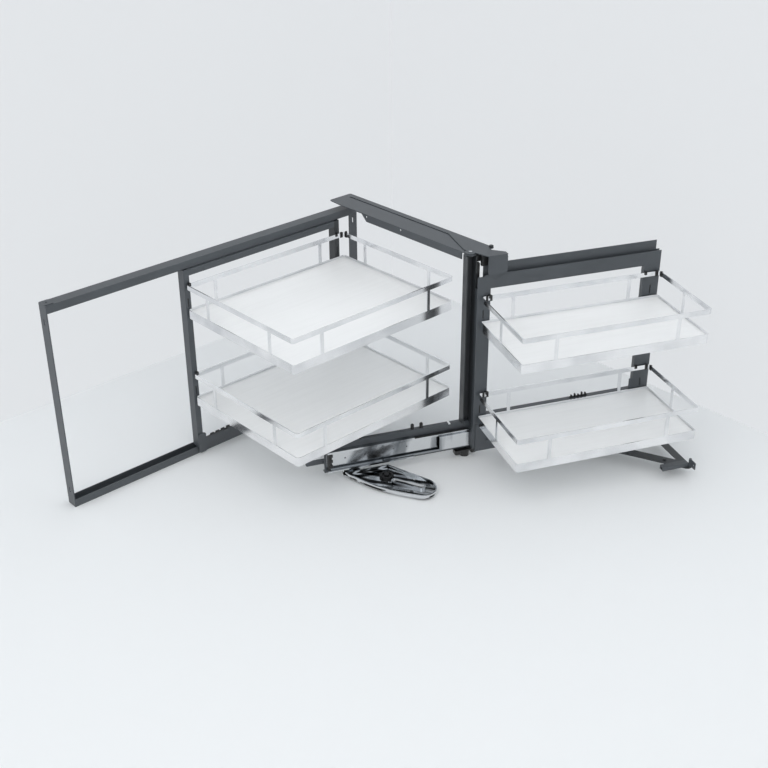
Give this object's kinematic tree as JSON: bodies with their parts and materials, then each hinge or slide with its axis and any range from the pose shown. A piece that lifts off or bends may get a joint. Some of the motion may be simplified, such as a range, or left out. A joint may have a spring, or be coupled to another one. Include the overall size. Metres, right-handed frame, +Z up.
{
  "type": "blind corner pull out",
  "caption": "Blind corner cabinet pull out: screwed-in frame, rear tray carriage, swivelling mast and slide, front tray frame, white panels with chrome railings",
  "frame": {"origin": "middle of the floor screw line of the rear frame, on the cabinet floor", "axes": "+X right along the rear frame, +Y to the back of the cabinet, +Z up"},
  "size_m": [1.3259, 0.9953, 0.5698],
  "materials": {
    "frame_steel": "matte anthracite powder coat",
    "tray_chrome": "bright chrome plate",
    "tray_panel": "white laminate with a faint grain",
    "slide_steel": "bright zinc-plated steel",
    "guide_chrome": "polished plate",
    "black_plastic": "moulded black plastic"
  },
  "bodies": {
    "cabinet_frame": {"left_post": "frame_steel", "right_post": "frame_steel", "top_rail": "frame_steel", "bottom_rail": "frame_steel", "top_arm": "frame_steel", "floor_bearing": "black_plastic"},
    "rear_carriage": {"carriage_left_post": "frame_steel", "carriage_right_post": "frame_steel", "carriage_top_bar": "frame_steel", "carriage_bottom_bar": "frame_steel", "carriage_feet": "frame_steel", "carriage_glides": "black_plastic", "rear_hooks": "black_plastic", "rear_upper_band": "tray_chrome", "rear_upper_panel": "tray_panel", "rear_upper_railing": "tray_chrome", "rear_lower_band": "tray_chrome", "rear_lower_panel": "tray_panel", "rear_lower_railing": "tray_chrome"},
    "swivel_mast": {"mast": "frame_steel", "hinge_plate": "frame_steel", "top_bearing": "black_plastic", "top_pivot_pin": "slide_steel", "guide_slider": "black_plastic", "pivot_boss": "black_plastic", "floor_channel": "frame_steel", "channel_pegs": "black_plastic", "slide_outer": "slide_steel", "slide_end_plug": "black_plastic", "guide_plate": "guide_chrome", "guide_mount": "guide_chrome"},
    "middle_slide": {"slide_middle": "slide_steel"},
    "front_frame": {"front_left_post": "frame_steel", "front_right_post": "frame_steel", "front_top_rail": "frame_steel", "front_bottom_bar": "frame_steel", "front_base_beam": "frame_steel", "front_gusset": "frame_steel", "front_corner_plate": "frame_steel", "slide_inner": "slide_steel", "front_hooks": "black_plastic", "front_upper_band": "tray_chrome", "front_upper_panel": "tray_panel", "front_upper_railing": "tray_chrome", "front_lower_band": "tray_chrome", "front_lower_panel": "tray_panel", "front_lower_railing": "tray_chrome", "door_arm_long": "frame_steel", "door_arm_short": "frame_steel", "door_bracket": "frame_steel", "door_link_pin": "black_plastic"},
    "door_fixing": {"door_plate": "frame_steel"},
    "guide_disc": {"toothed_disc": "black_plastic"}
  },
  "joints": [
    {"name": "front_swivel", "type": "hinge", "parent": "cabinet_frame", "child": "swivel_mast", "pos_m": [0.403, -0.4955, 0], "axis": [0, 0, 1], "range_deg": [-66, 0]},
    {"name": "front_push", "type": "slide", "parent": "swivel_mast", "child": "front_frame", "axis": [0.9127, -0.4086, 0], "range_m": [-0.28, 0]},
    {"name": "slide_travel", "type": "slide", "parent": "swivel_mast", "child": "middle_slide", "axis": [0.9127, -0.4086, 0], "range_m": [-0.14, 0]},
    {"name": "rear_slide", "type": "slide", "parent": "cabinet_frame", "child": "rear_carriage", "axis": [1, 0, 0], "range_m": [-0.35, 0]},
    {"name": "door_plate_turn", "type": "hinge", "parent": "front_frame", "child": "door_fixing", "pos_m": [0.73964, -0.95739, 0.0427], "axis": [0, 0, 1], "range_deg": [-60, 60]},
    {"name": "disc_spin", "type": "hinge", "parent": "swivel_mast", "child": "guide_disc", "pos_m": [0.17267, -0.44586, 0.0124], "axis": [0, 0, 1], "continuous": true}
  ],
  "couplings": [
    {"joint": "slide_travel", "follows": "front_push", "ratio": 0.5},
    {"joint": "rear_slide", "follows": "front_push", "ratio": 1.25}
  ]
}
